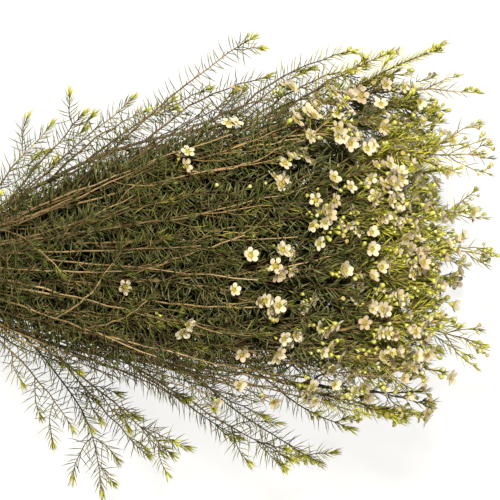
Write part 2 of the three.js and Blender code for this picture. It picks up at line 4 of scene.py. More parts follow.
import bmesh
import bpy
import numpy as np
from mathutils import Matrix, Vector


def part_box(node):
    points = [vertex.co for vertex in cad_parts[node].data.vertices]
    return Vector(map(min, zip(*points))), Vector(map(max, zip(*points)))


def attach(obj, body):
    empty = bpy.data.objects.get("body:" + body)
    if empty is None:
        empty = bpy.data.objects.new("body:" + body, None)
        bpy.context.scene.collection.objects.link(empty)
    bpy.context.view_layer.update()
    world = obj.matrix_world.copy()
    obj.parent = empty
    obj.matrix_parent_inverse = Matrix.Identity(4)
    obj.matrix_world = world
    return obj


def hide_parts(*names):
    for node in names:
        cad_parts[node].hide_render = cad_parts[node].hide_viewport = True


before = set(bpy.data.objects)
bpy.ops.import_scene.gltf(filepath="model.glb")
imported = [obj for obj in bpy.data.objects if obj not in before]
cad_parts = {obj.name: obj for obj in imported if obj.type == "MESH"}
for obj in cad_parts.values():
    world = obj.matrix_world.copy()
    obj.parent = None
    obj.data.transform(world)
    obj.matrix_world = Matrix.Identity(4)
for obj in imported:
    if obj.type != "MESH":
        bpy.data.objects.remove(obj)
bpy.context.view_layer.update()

# ----------------------------------------
# The stems. Thirteen woody stems with grey-brown bark, cut at the left. They run in three rows
# through the rubber band and fan out beyond it into a wide, flat head. Each keeps its own site in
# the bunch, a share of its half-width and half-height. Lengths are in millimetres.

MM = 0.001
BAND_X = 70  # middle of the rubber band, from the cut ends
HELD_LENGTH = 12  # of the bundle, straight in the band
HEAD_X = 655  # where the bunch is widest open
BUNDLE_HALF = (11.6, 6.8)  # half-width and half-height of the bundle in the band
HEAD_HALF = (183, 84)  # of the head
BAND_Y = -28  # the bunch lies slightly askew
HEAD_Y = 14
FAN_START = 0.05  # how gently the stems begin to part
END_FLARE = 0.03  # of the cut ends behind the band
SWAY = 0.05  # of a stem round its site
STEM_RADIUS = 2.2
STEM_TIP_RADIUS = 0.8
STEM_POINTS = 80
CUT_DEPTH = 0.5  # faces this near to the cut end are bare wood
BAND_THICKNESS = 1.5
FIT_GAP = 0.3  # between the band and the stems
LEADER_ENDS = [560, 590, 585, 540, 575, 600, 612, 600, 560, 565, 590, 595, 550]

ROW_HEIGHT = 0.6
OUTER_ROW = [-0.57, -0.19, 0.19, 0.57]
MIDDLE_ROW = [-0.76, -0.38, 0, 0.38, 0.76]
SITES = [np.array((across, up)) for row, up in (
    (OUTER_ROW, ROW_HEIGHT), (MIDDLE_ROW, 0), (OUTER_ROW, -ROW_HEIGHT)) for across in row]

band_low, band_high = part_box("rubber_band")
bunch_origin = np.array((
    (band_low.x + band_high.x) / 2 - BAND_X * MM, (band_low.y + band_high.y) / 2 - BAND_Y * MM, 0))


def opening(x):
    """How far the bunch has opened: 0 in the band, 1 at the head."""
    behind = BAND_X - HELD_LENGTH / 2 - x
    if behind > 0:
        return END_FLARE * (behind / BAND_X) ** 2
    start = BAND_X + HELD_LENGTH / 2
    along = max(x - start, 0) / (HEAD_X - start)
    eased = along * along / (along + FAN_START)
    return 1 - max(1 - eased, 0) ** 3


def half_size(x):
    return np.array([held + (open_out - held) * opening(x) for held, open_out in zip(BUNDLE_HALF, HEAD_HALF)])


def middle(x):
    along = min(max((x - BAND_X) / (HEAD_X - BAND_X), 0), 1)
    return HEAD_Y - (HEAD_Y - BAND_Y) * (1 - along) ** 1.6


def underside():
    return STEM_RADIUS + FIT_GAP + BAND_THICKNESS - (1 - ROW_HEIGHT) * BUNDLE_HALF[1]


def place(share, x):
    """The point at a share of the bunch's half-width and half-height."""
    half = half_size(x)
    return np.array((x, middle(x) + share[0] * half[0], underside() + (1 + share[1]) * half[1]))


def spine(stem, x):
    swing = np.array((math.sin(x / 62 + stem * 2.1), math.cos(x / 75 + stem * 1.3)))
    return place(SITES[stem] + SWAY * opening(x) * swing, x)


def unit(vector):
    return vector / np.linalg.norm(vector)


class Twig:
    """A woody axis: its line, its thickness at both ends, the flowers and buds at its tip, and the share of
    its length that is bare."""

    def __init__(self, line, thickness, heads="", bare=0.0):
        self.line = np.array(line)
        self.thickness = thickness
        self.heads = heads
        self.bare = bare
        steps = np.linalg.norm(np.diff(self.line, axis=0), axis=1)
        self.reached = np.concatenate(([0], np.cumsum(steps)))
        self.length = self.reached[-1]

    def at(self, distance):
        """The point and the direction at a distance along the twig."""
        point = np.array([np.interp(distance, self.reached, self.line[:, k]) for k in range(3)])
        k = min(np.searchsorted(self.reached, distance, side="right"), len(self.line) - 1)
        return point, unit(self.line[k] - self.line[k - 1])


def add_thing(name, data):
    thing = bpy.data.objects.new(name, data)
    bpy.context.collection.objects.link(thing)
    return thing


def tubes(name, twigs, roundness):
    """Round wood along the twigs, tapering and closed at both ends."""
    curve = bpy.data.curves.new(name, "CURVE")
    curve.dimensions = "3D"
    curve.bevel_depth = MM
    curve.bevel_resolution = roundness
    curve.use_fill_caps = True
    for twig in twigs:
        spline = curve.splines.new("POLY")
        spline.points.add(len(twig.line) - 1)
        places = twig.line * MM + bunch_origin
        thick = np.interp(twig.reached, (0, twig.length), twig.thickness)
        spline.points.foreach_set("co", np.column_stack((places, np.ones(len(places)))).ravel())
        spline.points.foreach_set("radius", thick)
    template = add_thing(name, curve)
    bpy.context.view_layer.update()
    mesh = bpy.data.meshes.new_from_object(template.evaluated_get(bpy.context.evaluated_depsgraph_get()))
    bpy.data.objects.remove(template)
    bpy.data.curves.remove(curve)
    mesh.name = name
    mesh.shade_smooth()
    return add_thing(name, mesh)


def belongs(piece, stem):
    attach(piece, "root")
    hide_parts(f"stem_{stem + 1:02d}")


def new_material(name, specular=0.3):
    material = bpy.data.materials.new(name)
    material.use_nodes = True
    shader = material.node_tree.nodes["Principled BSDF"]
    shader.inputs["Specular IOR Level"].default_value = specular
    return material, material.node_tree, shader


def ramp(tree, colours, source):
    node = tree.nodes.new("ShaderNodeValToRGB")
    elements = node.color_ramp.elements
    while len(elements) < len(colours):
        elements.new(0.5)
    for element, (position, colour) in zip(elements, colours):
        element.position = position
        element.color = (*colour, 1)
    tree.links.new(source, node.inputs["Fac"])
    return node.outputs["Color"]


def add_socket(group, name, way, is_vector):
    kind = "NodeSocketVector" if is_vector else "NodeSocketFloat"
    group.interface.new_socket(name=name, in_out=way, socket_type=kind)


def build_grain():
    """The grain that bark, wood, leaves, wax and rubber share, drawn out along the bunch. It also makes the
    surface uneven and changes its roughness from place to place."""
    group = bpy.data.node_groups.new("grain", "ShaderNodeTree")
    for name in ("Stretch", "Scale", "Detail", "Smoothest", "Roughest", "Bump Strength", "Bump Distance"):
        add_socket(group, name, "INPUT", name == "Stretch")
    for name in ("Grain", "Roughness", "Normal"):
        add_socket(group, name, "OUTPUT", name == "Normal")
    given = group.nodes.new("NodeGroupInput").outputs
    results = group.nodes.new("NodeGroupOutput").inputs
    coordinates = group.nodes.new("ShaderNodeTexCoord")
    mapping = group.nodes.new("ShaderNodeMapping")
    noise = group.nodes.new("ShaderNodeTexNoise")
    between = group.nodes.new("ShaderNodeMapRange")
    between.inputs["From Min"].default_value = 0.3
    between.inputs["From Max"].default_value = 0.7
    bump = group.nodes.new("ShaderNodeBump")
    for source, target in (
            (coordinates.outputs["Object"], mapping.inputs["Vector"]),
            (given["Stretch"], mapping.inputs["Scale"]), (mapping.outputs["Vector"], noise.inputs["Vector"]),
            (given["Scale"], noise.inputs["Scale"]), (given["Detail"], noise.inputs["Detail"]),
            (noise.outputs["Fac"], between.inputs["Value"]),
            (given["Smoothest"], between.inputs["To Min"]), (given["Roughest"], between.inputs["To Max"]),
            (noise.outputs["Fac"], bump.inputs["Height"]), (given["Bump Strength"], bump.inputs["Strength"]),
            (given["Bump Distance"], bump.inputs["Distance"]), (noise.outputs["Fac"], results["Grain"]),
            (between.outputs["Result"], results["Roughness"]), (bump.outputs["Normal"], results["Normal"])):
        group.links.new(source, target)
    return group


grain_group = build_grain()


def grained(tree, stretch, scale, detail=4, roughness=(0.5, 0.5), strength=0.0, distance=0.0):
    """Places the grain in a material with the material's own values."""
    node = tree.nodes.new("ShaderNodeGroup")
    node.node_tree = grain_group
    for name, value in (
            ("Stretch", stretch), ("Scale", scale), ("Detail", detail), ("Smoothest", roughness[0]),
            ("Roughest", roughness[1]), ("Bump Strength", strength), ("Bump Distance", distance)):
        node.inputs[name].default_value = value
    return node.outputs


def surface(tree, shader, colour, grain):
    """Gives the shader its colour, and the grain's roughness and bumps."""
    tree.links.new(colour, shader.inputs["Base Color"])
    tree.links.new(grain["Roughness"], shader.inputs["Roughness"])
    tree.links.new(grain["Normal"], shader.inputs["Normal"])


old_bark, tree, shader = new_material("old bark", 0.15)
grain = grained(tree, (0.25, 1, 1), 1400, roughness=(0.72, 0.9), strength=0.6, distance=0.0004)
colour = ramp(tree, [
    (0.3, (0.06, 0.042, 0.026)), (0.55, (0.15, 0.105, 0.065)), (0.75, (0.3, 0.21, 0.13))], grain["Grain"])
surface(tree, shader, colour, grain)

cut_wood, tree, shader = new_material("cut wood")
grain = grained(tree, (1, 1, 1), 900, roughness=(0.62, 0.8), strength=0.3, distance=0.0002)
colour = ramp(tree, [(0.35, (0.5, 0.4, 0.24)), (0.7, (0.66, 0.56, 0.36))], grain["Grain"])
surface(tree, shader, colour, grain)

leaders = [Twig([spine(stem, x) for x in np.linspace(0, end, STEM_POINTS)],
                (STEM_RADIUS, STEM_TIP_RADIUS), heads="bfbb") for stem, end in enumerate(LEADER_ENDS)]
for stem, leader in enumerate(leaders):
    piece = tubes(f"stem_{stem + 1:02d}_wood", [leader], roundness=3)
    piece.data.materials.append(old_bark)
    piece.data.materials.append(cut_wood)
    for face in piece.data.polygons:
        if face.center.x < bunch_origin[0] + CUT_DEPTH * MM:
            face.material_index = 1
    belongs(piece, stem)

# ----------------------------------------
# The side twigs. Each stem forks again and again: long shoots reach the edge of the stem's own
# space or stand out of the bunch as sprigs, and short twigs leave them in pairs. The young wood is
# thin and tan, and green towards its tips.

SEED = 20
TWIG_RADIUS = 1.1
TWIG_TIP_RADIUS = 0.45
TOP_TWIG_RADIUS = 1.2
TOP_TWIG_BARE = 0.75  # share of its length
HIGHEST_TOP_TWIG = 149
NEAREST_SHOOT_X = 100  # the stems are bare below this
FIRST_SHOOT_X = 125
LAST_SHOOT_BACK = 100  # last shoot, back from the stem's tip
INSIDE_SHOOTS = 8
FILLING_SHOOTS = 14  # more to a stem, drawn in towards the bunch's middle
LAST_FILLING_BACK = 90
FILLING_DRAWN_IN = 0.3
SHOOT_LENGTH = (80, 45)  # at least, and at most this much more
SPIRAL = 2.4  # turn from one shoot or leaf to the next, in radians
BARE_BASE = 14  # of a shoot, below its side twigs
NODE_GAP = 16  # between the places where shoots leave
LAST_NODE_BACK = 62
FLOWERING_X = 440  # shoots that end beyond this flower
LONE_BLOOM_HEIGHT = 0.8  # share of the bunch's half-height
LONE_BLOOM_TWIG = 75
SHOOT_BOW = (7, 3)  # most, across and up
SHOOT_KINK = 1.3
TOP_TWIG_KINK = 1.2
SIDE_TWIG_KINK = 0.9
SIDE_TWIG_RADII = (0.55, 0.35)
SIDE_TWIG_PITCH = 27  # between pairs
SIDE_TWIG_LENGTH = (36, 90)
SIDE_TWIG_SPREAD = (0.3, 0.75)  # from the parent, in radians
SHORTEST_SIDE_TWIG = 10
SIDE_TWIG_CHANCE = 0.44  # at each side of a node
MORE_IN_HEAD = 0.46
FEWER_AT_EDGE = 0.36
SHORTER_IN_HEAD = 0.35
SHORTER_AT_SURFACE = 0.2
SHORTER_AT_EDGE = 0.42
CHANCE_OUTSIDE = 0.6
OUTSIDE_FROM = 1.02  # share of the half-width
INNER_WIDTH = 0.93  # share of the half-width that inner side twigs keep to
REACH_LOW = (0, -224, 1.5)
REACH_HIGH = (640, 188, 149)
FRONT_OF_HEAD = 592
ONLY_BUDS_X = 580
HEAD_BEGINS_X = 450
HEAD_FULL_X = 550
EDGE_FROM = (0.52, 0.48)  # share of the half-width, at the upper and the lower side
EDGE_WIDTH = 0.3

# Sprigs that stand out of the bunch: tip, the place on the stem that they leave, and their heads
SPRIGS = [
    ((223, 119, 12), 140, ""), ((256, 128, 56), 184, ""), ((305, 141, 112), 200, ""),
    ((340, 143, 14), 235, ""), ((375, 152, 76), 270, ""), ((417, 197, 128), 290, "b"),
    ((465, 170, 18), 360, "b"), ((512, 188, 84), 390, "bb"), ((546, 183, 138), 430, "fbbb"),
    ((595, 192, 96), 470, "bbbbb"), ((633, 150, 70), 520, "bbbbbb"), ((633, 90, 140), 520, "bbb"),
    ((650, -5, 90), 530, "bbbbbbbb"), ((603, -64, 150), 500, "bb"), ((633, -88, 80), 520, "bbbb"),
    ((598, -114, 130), 500, "fbbb"), ((588, -147, 70), 470, "bbb"), ((560, -157, 104), 450, "bbb"),
    ((522, -152, 144), 410, "bbb"), ((512, -171, 30), 400, "bbb"), ((482, -205, 2), 320, "bbb"),
    ((454, -198, 70), 300, "bb"), ((403, -180, 2), 270, ""), ((340, -193, 56), 210, ""),
    ((316, -198, 2), 210, ""), ((273, -232, 2), 160, ""), ((245, -168, 42), 150, ""),
]
# Where a sprig bends on its way out
SPRIG_BENDS = {
    (482, -205, 2): (420, -160, 6), (454, -198, 70): (385, -150, 64), (340, -193, 56): (300, -150, 54),
    (316, -198, 2): (280, -150, 8), (273, -232, 2): (270, -140, 8), (245, -168, 42): (215, -110, 40),
}
# Half-bare twigs that show on top of the bunch, along it and across it: tip, the place on the stem, the bend
CROSSING = [
    ((430, 42), 130, (280, 20)), ((425, -28), 120, (270, -12)), ((440, 84), 150, (300, 62)),
    ((392, -78), 140, (280, -46)), ((372, 4), 110, (240, -2)), ((462, 12), 200, (330, 8)),
    ((330, -100), 120, (235, -62)), ((400, 108), 140, (270, 66)), ((299, 5), 215, (256, -70)),
    ((322, -47), 240, (284, -80)), ((413, 14), 290, (337, -12)), ((250, 49), 165, (205, 28)),
    ((239, -21), 160, (194, 30)), ((450, 97), 330, (398, 64)), ((495, 125), 400, (462, 84)),
    ((330, 84), 115, (230, 34)), ((345, -68), 125, (240, -40)), ((360, 30), 105, (235, 18)),
    ((300, -20), 110, (220, -24)), ((310, 52), 120, (225, 6)), ((465, -52), 230, (370, -60)),
    ((475, 60), 240, (380, 30)), ((500, -4), 280, (420, -30)), ((410, -112), 210, (330, -92)),
]
# Low twigs that the bunch rests on
RESTING = [
    ((330, 96, 2), 220, ""), ((440, 118, 2), 330, ""), ((540, 96, 2), 440, "bb"), ((450, 30, 2), 360, ""),
    ((585, 36, 2), 500, "bb"), ((440, -36, 2), 350, ""), ((560, -70, 2), 470, "bb"),
]
# Short sprays that fill the head's upper corner
CORNER_SPRAYS = [
    ((565, 142, 96), 490, "fbb"), ((584, 134, 62), 505, "bbb"), ((600, 133, 80), 520, "bbbb"),
    ((575, 121, 108), 495, "fbb"), ((590, 112, 50), 510, "bb"), ((552, 158, 70), 475, "bbb"),
]
# Flowers and buds that show singly on top of the foliage: along, across, heads
LONE_BLOOMS = [
    (295, -35, "f"), (330, -55, "fb"), (352, -68, "ff"), (351, 76, "ff"), (362, 87, "f"), (405, 142, "ff"),
    (398, 109, "ffb"), (387, 56, "b"), (415, 57, "b"), (417, 10, "b"), (418, -7, "f"), (398, -39, "f"),
    (427, -50, "fff"), (383, -135, "f"), (405, -122, "f"), (408, -92, "f"),
]
# Clusters that open on top of the head: along, across, heads
CLUSTERS = [
    (538, 76, "ff"), (541, 47, "ffb"), (553, 47, "ff"), (571, 45, "f"), (539, 36, "f"), (552, 33, "ff"),
    (560, 19, "fff"), (560, 5, "ff"), (565, -11, "fff"), (574, -13, "ff"), (588, -9, "f"), (584, -24, "ff"),
    (527, 0, "ffb"), (530, -30, "ff"), (536, -57, "fb"), (489, -62, "ffb"), (558, -62, "ff"), (570, -66, "ff"),
    (546, -100, "ff"), (565, -100, "ffb"), (563, -114, "f"), (493, -122, "ff"), (555, -119, "f"),
    (489, 138, "ff"), (496, 128, "f"), (455, 116, "ffb"), (465, 104, "ff"), (472, 95, "f"), (489, 60, "f"),
    (491, -95, "fb"), (477, -133, "f"), (435, -136, "ff"), (427, -128, "f"), (446, -80, "ffb"), (440, -94, "ff"),
    (508, 104, "bb"), (520, 60, "bb"), (505, 20, "bbb"), (470, 30, "bb"), (500, -20, "bb"), (520, -90, "bbb"),
]


def share_of(point):
    """Where a point stands in the bunch, as shares of its half-width and half-height."""
    half = half_size(point[0])
    return np.array(((point[1] - middle(point[0])) / half[0], (point[2] - underside()) / half[1] - 1))


def top_of_bunch(x, across):
    """The place on top of the bunch's round at a distance along it and across it."""
    share = (across - middle(x)) / half_size(x)[0]
    return place((share, max(1 - abs(share) ** 3, 0) ** (1 / 3)), x)


def in_head(point):
    """How far a point is inside the flowering head of the bunch, from 0 to 1."""
    return min(max((point[0] - HEAD_BEGINS_X) / (HEAD_FULL_X - HEAD_BEGINS_X), 0), 1)


def near_edge(point):
    """How near a point is to the thin edge of the bunch at either side, from 0 to 1."""
    across = share_of(point)[0]
    return min(max((across - EDGE_FROM[0]) / EDGE_WIDTH, (-across - EDGE_FROM[1]) / EDGE_WIDTH, 0), 1)


def seeded(seed):
    state = seed
    while True:
        state = (state * 1664525 + 1013904223) & 0xFFFFFFFF
        yield state / 2 ** 32


def space_towards(stem, heading):
    """How far a stem's own space reaches: half-way to its neighbours, inside the bunch's round."""
    own = SITES[stem]
    reach = 1.0
    for site in SITES:
        apart = site - own
        along = heading @ apart
        if along > 0:
            reach = min(reach, apart @ apart / 2 / along)
    while np.sum(np.abs(own + heading * reach) ** 3) >= 1:
        reach *= 0.95
    return reach


def inside_shoots(stem, seed, count, first, last, drawn_in=0.0):
    """Shoots that turn round the stem as they climb and end inside its own space."""
    draw = seeded(seed).__next__
    shoots = []
    for k in range(count):
        leaves = first + (last - first) * (k + 0.6 * draw()) / count
        tip_x = leaves + SHOOT_LENGTH[0] + SHOOT_LENGTH[1] * draw()
        angle = k * SPIRAL + stem + 0.8 * draw()
        heading = np.array((math.cos(angle), math.sin(angle)))
        flowers = tip_x > FLOWERING_X
        reach = space_towards(stem, heading) * ((0.5 if flowers else 0.65) + 0.25 * draw())
        kept_in = drawn_in * (1 - in_head((tip_x, 0, 0)) * (heading[0] > 0))
        tip = place((SITES[stem] + heading * reach) * (1 - kept_in, 1), tip_x)
        shoots.append((tip, leaves, "ffbfb" if flowers else "", None))
    return shoots


def nearest_to(stem, shoots):
    """The shoots whose tips stand nearest to this stem's site."""
    return [shoot for shoot in shoots
            if np.argmin([np.linalg.norm(site - share_of(shoot[0])) for site in SITES]) == stem]


def chosen_shoots(stem):
    chosen = [(np.array(tip), leaves, heads, SPRIG_BENDS.get(tip)) for tip, leaves, heads in SPRIGS + RESTING]
    for along, across, heads in LONE_BLOOMS + CLUSTERS:
        share = ((across - middle(along)) / half_size(along)[0], LONE_BLOOM_HEIGHT)
        chosen.append((place(share, along), along - LONE_BLOOM_TWIG, heads, None))
    return nearest_to(stem, chosen)


def corner_shoots(stem):
    return nearest_to(stem, [(np.array(tip), leaves, heads, None) for tip, leaves, heads in CORNER_SPRAYS])


def spaced_out(shoots, last_x):
    """The shoots, with the places that they leave set apart."""
    following = last_x + NODE_GAP
    spaced = []
    for tip, leaves, heads, bend in sorted(shoots, key=lambda shoot: -shoot[1]):
        following = max(min(leaves, following - NODE_GAP), NEAREST_SHOOT_X)
        spaced.append((tip, following, heads, bend))
    return spaced


def bent_line(base, turn, tip, count):
    shares = np.linspace(0, 1, count)[:, None]
    return (1 - shares) ** 2 * base + 2 * shares * (1 - shares) * turn + shares ** 2 * tip


def kinks(draw, count, size):
    return np.array([[draw.uniform(-size, size) for _ in range(3)] for _ in range(count)])


def shoot_twig(stem, shoot, draw):
    """A shoot from its place on the stem to its tip, bowed a little and bent at its nodes."""
    tip, leaves, heads, bend = shoot
    base = spine(stem, leaves)
    if bend is None:
        share = share_of(base) + (share_of(tip) - share_of(base)) * 0.7
        turn = place(share, leaves + (tip[0] - leaves) * 0.45)
    else:
        turn = np.array(bend)
    line = bent_line(base, turn, tip, 11)
    bow = np.array((0, draw.uniform(-SHOOT_BOW[0], SHOOT_BOW[0]), draw.uniform(-SHOOT_BOW[1], SHOOT_BOW[1])))
    bowed = np.outer([math.sin(math.pi * k / 10) for k in range(1, 10)], bow)
    line[1:-1] += bowed + kinks(draw, 9, SHOOT_KINK)
    return Twig(line, (TWIG_RADIUS, TWIG_TIP_RADIUS), heads)


def top_twigs(stem, draw):
    """Half-bare twigs that run on top of the bunch, each from the stem nearest to it."""
    twigs = []
    for tip_place, leaves, bend_place in CROSSING:
        tip, bend = (top_of_bunch(*where) for where in (tip_place, bend_place))
        tip[2], bend[2] = min(tip[2], HIGHEST_TOP_TWIG), min(bend[2], HIGHEST_TOP_TWIG)
        crossed = (bend[1] * leaves / bend[0], bend[2])
        nearest = np.argmin([np.linalg.norm(spine(k, leaves)[1:] - crossed) for k in range(len(SITES))])
        if nearest == stem:
            line = bent_line(spine(stem, leaves), bend, tip, 15)
            line[1:-1] += kinks(draw, 13, TOP_TWIG_KINK)
            twigs.append(Twig(line, (TOP_TWIG_RADIUS, TWIG_TIP_RADIUS), bare=TOP_TWIG_BARE))
    return twigs


def across_axes(along):
    reference = np.array((0.0, 0, 1)) if abs(along[2]) < 0.9 else np.array((1.0, 0, 0))
    side = unit(np.cross(reference, along))
    return side, np.cross(along, side)


def leaning(along, turn, lean):
    """The direction that leans out from another, turned round it."""
    side, up = across_axes(along)
    outward = side * math.cos(turn) + up * math.sin(turn)
    return along * math.cos(lean) + outward * math.sin(lean)


def room_for(tip, front, aside):
    """Whether a side twig's tip stays behind the head's front, and inside the bunch if it starts inside."""
    return tip[0] < front and (aside > INNER_WIDTH or abs(share_of(tip)[0]) < INNER_WIDTH)


def within_reach(point):
    return np.clip(point, REACH_LOW, REACH_HIGH)


def flowering_heads(tip, draw):
    """Flowers and buds in the head of the bunch, none where it is thick, and only buds at its very front."""
    hidden = tip[0] < 570 and np.sum(np.abs(share_of(tip)) ** 3) < 0.25
    if hidden or draw.random() > (tip[0] - 430) / 110:
        return ""
    kinds = "bbbs" if tip[0] > ONLY_BUDS_X or abs(share_of(tip)[0]) > 0.8 else "fffffbbbbs"
    return "".join(draw.choice(kinds) for _ in range(draw.randint(1, 4)))


def side_twigs(parent, first, draw):
    """Twigs that leave two by two on opposite sides, each pair turned from the last. They are long and lie
    close to their parent inside the bunch, and are short and spread in its head. Fewer grow at its edge."""
    twigs = []
    distance = max(first, parent.bare * parent.length) + SIDE_TWIG_PITCH * draw.random()
    turn = 6 * draw.random()
    front = FRONT_OF_HEAD if parent.line[-1][0] < FRONT_OF_HEAD + 20 else REACH_HIGH[0]
    while distance < parent.length - 10:
        base, along = parent.at(distance)
        head = in_head(base)
        at_surface = min(np.sum(np.abs(share_of(base)) ** 3), 1)
        aside = abs(share_of(base)[0])
        fringe = near_edge(base)
        chance = CHANCE_OUTSIDE
        if aside < OUTSIDE_FROM:
            chance = SIDE_TWIG_CHANCE + MORE_IN_HEAD * head - FEWER_AT_EDGE * fringe
        for side in (0, math.pi):
            if draw.random() < chance:
                length = (draw.uniform(*SIDE_TWIG_LENGTH) * (1 - SHORTER_IN_HEAD * head)
                          * (1 - SHORTER_AT_SURFACE * at_surface) * (1 - SHORTER_AT_EDGE * fringe))
                length = min(length, 16 + 0.85 * (parent.length - distance))
                spread = draw.uniform(*SIDE_TWIG_SPREAD) + max(0.3 * head, 0.4 * fringe)
                out = leaning(along, turn + side + draw.uniform(-0.5, 0.5), spread)
                towards = unit(out + 0.5 * along)
                while length > SHORTEST_SIDE_TWIG and not room_for(base + length * towards, front, aside):
                    length *= 0.85
                tip = within_reach(base + length * towards)
                line = bent_line(base, within_reach(base + 0.5 * length * out), tip, 5)
                line[1:-1] += kinks(draw, 3, SIDE_TWIG_KINK)
                twigs.append(Twig(line, SIDE_TWIG_RADII, flowering_heads(tip, draw)))
        turn += math.pi / 2 + draw.uniform(-0.4, 0.4)
        distance += SIDE_TWIG_PITCH * draw.uniform(0.7, 1.3) * (1 - 0.36 * head)
    return twigs


shoots_of, top_twigs_of, side_twigs_of = [], [], []
for stem, leader in enumerate(leaders):
    draw = random.Random(SEED + 100 + stem)
    end = LEADER_ENDS[stem]
    planned = chosen_shoots(stem) + inside_shoots(
        stem, SEED + stem, INSIDE_SHOOTS, FIRST_SHOOT_X, end - LAST_SHOOT_BACK)
    filling = inside_shoots(
        stem, SEED + 50 + stem, FILLING_SHOOTS, NEAREST_SHOOT_X, end - LAST_FILLING_BACK, FILLING_DRAWN_IN)
    all_shoots = spaced_out(planned, end - LAST_NODE_BACK) + filling + corner_shoots(stem)
    shoots = [shoot_twig(stem, shoot, draw) for shoot in all_shoots]
    crossing = top_twigs(stem, draw)
    shoots_of.append(shoots)
    top_twigs_of.append(crossing)
    side_twigs_of.append(side_twigs(leader, NEAREST_SHOOT_X, draw) + [
        twig for shoot in shoots + crossing for twig in side_twigs(shoot, BARE_BASE, draw)])


def twig_bark(name, patch_scale, colours):
    """Smooth bark in long patches, with a fine grain along the twig."""
    material, tree, shader = new_material(name, 0.15)
    patches = grained(tree, (0.5, 1, 1), patch_scale, 2)["Grain"]
    fine = grained(tree, (0.3, 1, 1), 2000, roughness=(0.5, 0.7), strength=0.4, distance=0.0002)
    surface(tree, shader, ramp(tree, colours, patches), fine)
    return material


young_bark = twig_bark("young bark", 22, [
    (0.38, (0.075, 0.05, 0.024)), (0.52, (0.13, 0.088, 0.038)), (0.62, (0.24, 0.165, 0.07)),
    (0.68, (0.4, 0.28, 0.12)), (0.78, (0.24, 0.22, 0.045))])
pale_bark = twig_bark("pale bark", 16, [
    (0.36, (0.12, 0.08, 0.038)), (0.5, (0.28, 0.19, 0.09)), (0.64, (0.44, 0.31, 0.15))])

for stem in range(len(SITES)):
    for kind, twigs, roundness, bark in (
            ("shoots", shoots_of[stem], 1, young_bark), ("top_twigs", top_twigs_of[stem], 1, pale_bark),
            ("side_twigs", side_twigs_of[stem], 0, young_bark)):
        if twigs:
            piece = tubes(f"stem_{stem + 1:02d}_{kind}", twigs, roundness)
            piece.data.materials.append(bark)
            belongs(piece, stem)

# ----------------------------------------
# The needle leaves. Narrow, leathery, nearly round leaves in opposite pairs, each pair turned a
# quarter from the last, dark olive when old and shorter and yellow-green at the tips of the twigs.
# Deep in the bunch they carry painted shade, and on the sprigs outside it painted light.

NEEDLE_LENGTH = 22
NEEDLE_RADIUS = 0.5
NEEDLE_BEND = 2.0  # of its tip, to one side
NEEDLE_PITCH = 6.4  # between pairs
NEEDLE_SIZES = (0.8, 1.1)
NEEDLE_LEAN = (1.0, 1.45)  # from the twig, in radians
NEEDLE_TONES = (0.15, 0.49)  # from dark and old to fresh
# Lighter tones for twigs outside the bunch: painted light against the shade they lie in.
OUTSIDE_PAINTED_LIGHT_TONES = (0.46, 0.6)
SHOOT_LEAFY_FROM = 12
SIDE_TWIG_LEAFY_FROM = 5
OUTSIDE_SIZE = 0.88  # of a needle on a twig outside the bunch
OUTSIDE_PITCH = 0.55  # share of the pitch on such a twig
FLATTENED = 0.5  # share of their rise that needles keep inside the bunch
OUTSIDE_FLATTENED = 0.9
TUFT = 6  # needles at the tip of a twig
LARGER_TUFT = 9  # outside the bunch
LEAFY_END = 130  # of each stem
LOWEST = 0.2  # above the table
BLOOM_FORWARD = 7  # of a flower, beyond its twig's planned tip
BLOOM_CLEARING = 10  # no needle lies over a flower this near
BLOOM_DEPTH = 16  # and this far under the top


def needle_shape():
    """Three-sided, bent a little and tapering to a point."""
    shape = bmesh.new()
    along = shape.verts.layers.float.new("along")
    bmesh.ops.create_cone(
        shape, segments=3, radius1=NEEDLE_RADIUS * 0.6, radius2=NEEDLE_RADIUS, depth=0.5 * NEEDLE_LENGTH)
    bmesh.ops.translate(shape, verts=shape.verts, vec=(0, 0, 0.25 * NEEDLE_LENGTH))
    bmesh.ops.holes_fill(shape, edges=[edge for edge in shape.edges if edge.is_boundary])
    front = max(shape.faces, key=lambda face: face.calc_center_median().z)
    for vert in bmesh.ops.poke(shape, faces=[front])["verts"]:
        vert.co.z = NEEDLE_LENGTH
    for vert in shape.verts:
        vert[along] = vert.co.z / NEEDLE_LENGTH
        vert.co.x += NEEDLE_BEND * vert[along] ** 2
    bmesh.ops.recalc_face_normals(shape, faces=shape.faces)
    return shape


def scattered(name, shape, spots):
    """Copies of a shape, each at its place, turned by its own axes and with its own tone. The UV map holds
    the copy's tone and how far along the shape a point is, for the material to read."""
    along_layer = shape.verts.layers.float["along"]
    corners = np.array([vert.co for vert in shape.verts])
    along = np.array([vert[along_layer] for vert in shape.verts])
    shape.verts.layers.float.remove(along_layer)
    one = bpy.data.meshes.new("one")
    shape.to_mesh(one)
    shape.free()
    places, axes, sizes, tones = (np.array(part) for part in zip(*spots))
    points = np.einsum("vi,nij->nvj", corners, axes) * sizes[:, None, None] + places[:, None, :]
    points[:, :, 2] = np.maximum(points[:, :, 2], LOWEST)
    copies = bmesh.new()
    for copy_points in points * MM + bunch_origin:
        one.vertices.foreach_set("co", copy_points.ravel())
        copies.from_mesh(one, face_normals=False, vertex_normals=False)
    bpy.data.meshes.remove(one)
    mesh = bpy.data.meshes.new(name)
    copies.to_mesh(mesh)
    copies.free()
    loops = np.empty(len(mesh.loops), dtype=np.int32)
    mesh.loops.foreach_get("vertex_index", loops)
    uv = np.column_stack((tones[loops // len(corners)], along[loops % len(corners)]))
    mesh.uv_layers.new(name="OFBake").data.foreach_set("uv", uv.ravel())
    mesh.shade_smooth()
    return add_thing(name, mesh)


def axes_along(heading, towards, width=1.0):
    """Axes for a copied shape: its Z along the heading, its X on the side of another direction."""
    side = unit(towards - heading * (towards @ heading))
    return np.array((side * width, np.cross(heading, side) * width, heading))


